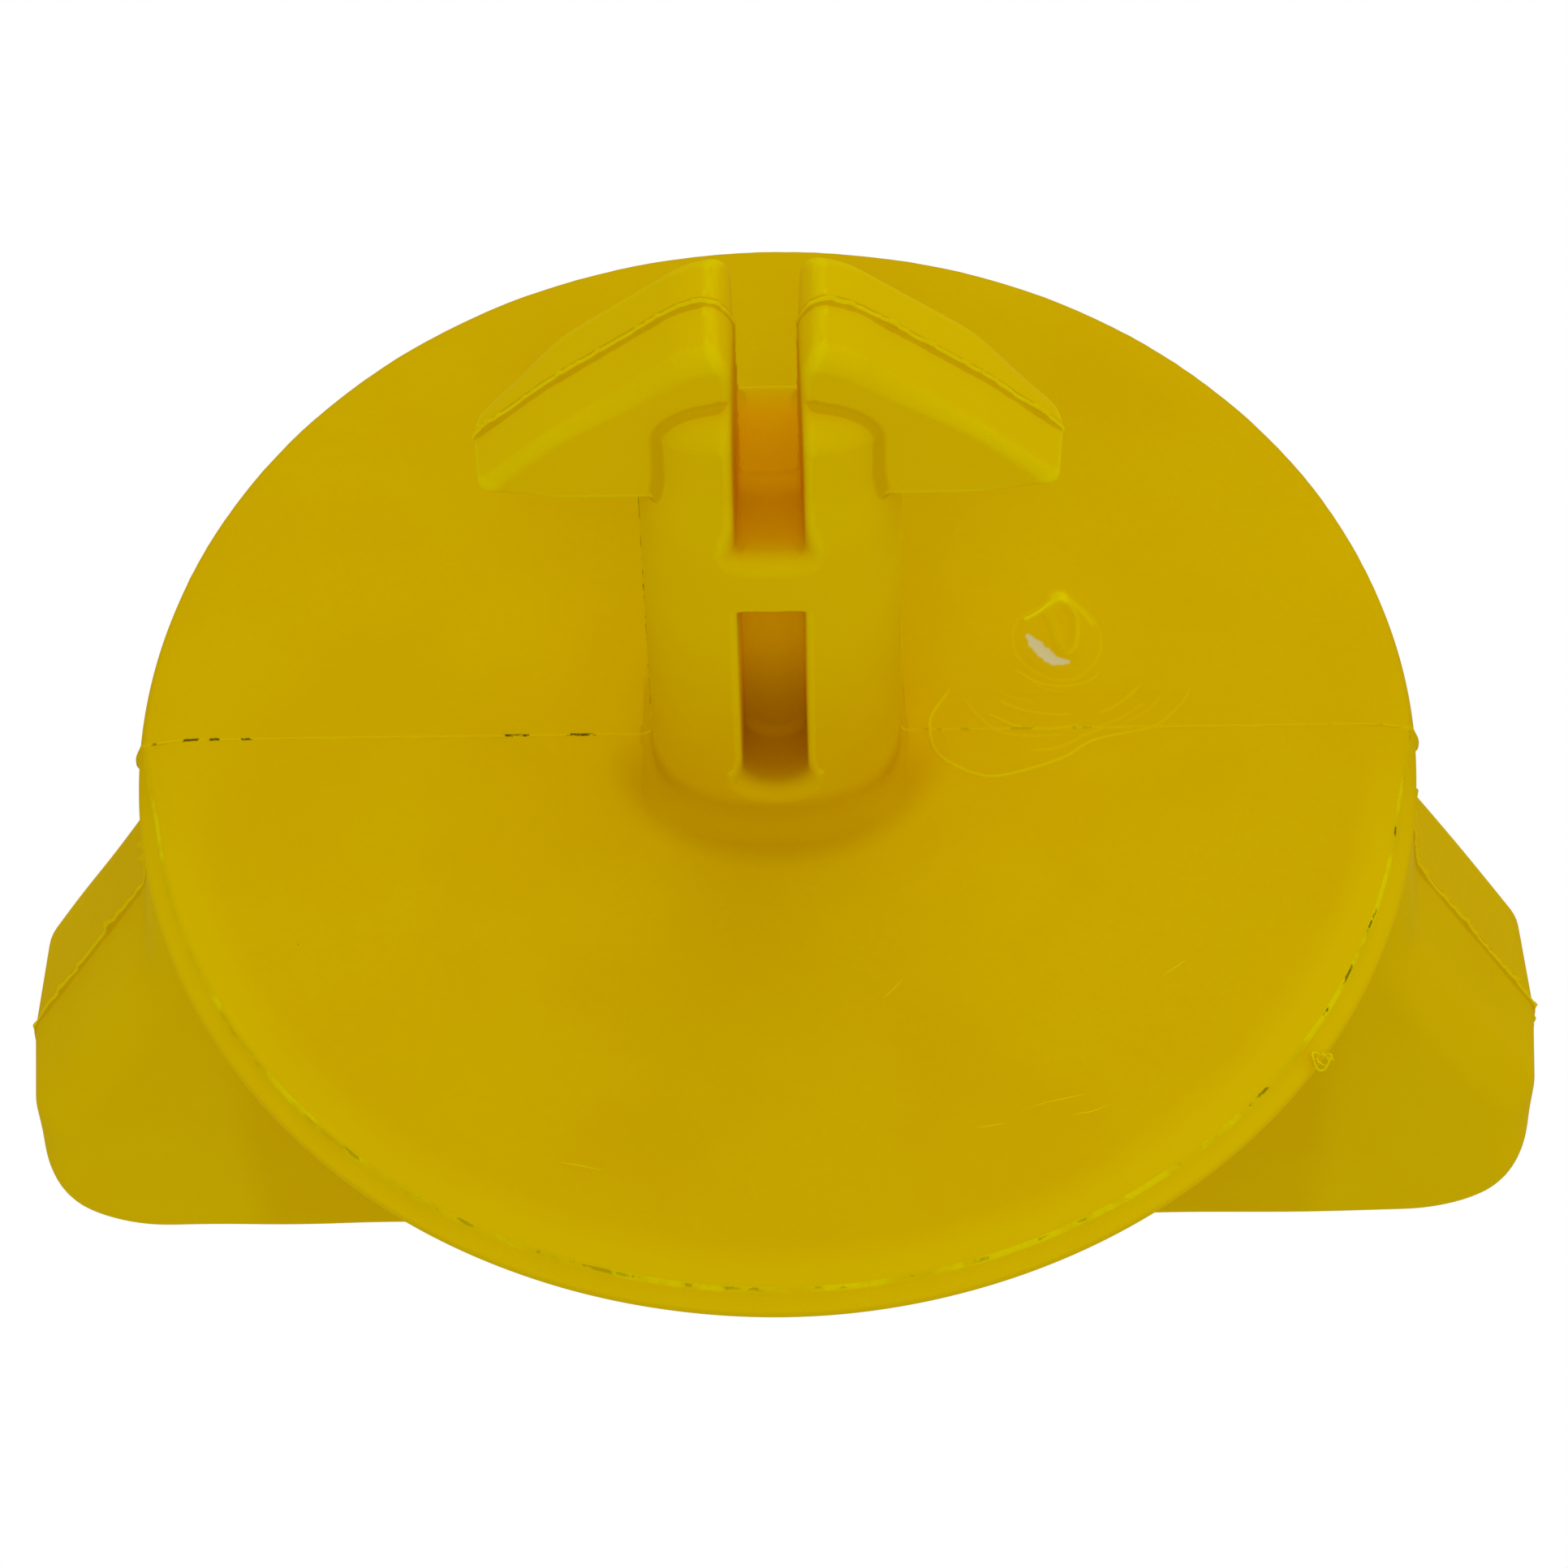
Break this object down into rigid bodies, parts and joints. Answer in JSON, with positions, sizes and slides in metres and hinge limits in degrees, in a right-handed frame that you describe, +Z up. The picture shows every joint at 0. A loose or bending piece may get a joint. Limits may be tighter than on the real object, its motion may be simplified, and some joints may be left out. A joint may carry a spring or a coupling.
{
  "type": "fence insulator",
  "caption": "Yellow moulded insulator that clips round a steel post's flange and holds an electric fence wire behind a winged, forked nose in front of a skirt disc.",
  "frame": {"origin": "middle of the flat pad that bears on the front of the post's flange", "axes": "+Z up along the post, -Y forward to the wire, X along the fence line"},
  "size_m": [0.0638, 0.0575, 0.0508],
  "materials": {
    "yellow_polyethylene": "waxy moulded yellow polyethylene with parting flash"
  },
  "bodies": {
    "root": {"disc": "yellow_polyethylene", "stem": "yellow_polyethylene", "spine": "yellow_polyethylene", "post_pad": "yellow_polyethylene"},
    "left_arm": {"left_spring_arm": "yellow_polyethylene", "left_claw": "yellow_polyethylene"},
    "right_arm": {"right_spring_arm": "yellow_polyethylene", "right_claw": "yellow_polyethylene"},
    "left_prong": {"left_tine": "yellow_polyethylene", "left_wing": "yellow_polyethylene"},
    "right_prong": {"right_tine": "yellow_polyethylene", "right_wing": "yellow_polyethylene"}
  },
  "joints": [
    {"name": "left_arm_flex", "type": "hinge", "parent": "root", "child": "left_arm", "pos_m": [-0.0235, -0.01525, 0], "axis": [0, 0, 1], "range_deg": [0, 12], "stiffness_Nm_per_rad": 3},
    {"name": "right_arm_flex", "type": "hinge", "parent": "root", "child": "right_arm", "pos_m": [0.0235, -0.01525, 0], "axis": [0, 0, -1], "range_deg": [0, 12], "stiffness_Nm_per_rad": 3},
    {"name": "left_prong_flex", "type": "hinge", "parent": "root", "child": "left_prong", "pos_m": [-0.00305, -0.03695, 0], "axis": [0, 0, -1], "range_deg": [-3, 4], "stiffness_Nm_per_rad": 4},
    {"name": "right_prong_flex", "type": "hinge", "parent": "root", "child": "right_prong", "pos_m": [0.00305, -0.03695, 0], "axis": [0, 0, 1], "range_deg": [-3, 4], "stiffness_Nm_per_rad": 4}
  ]
}
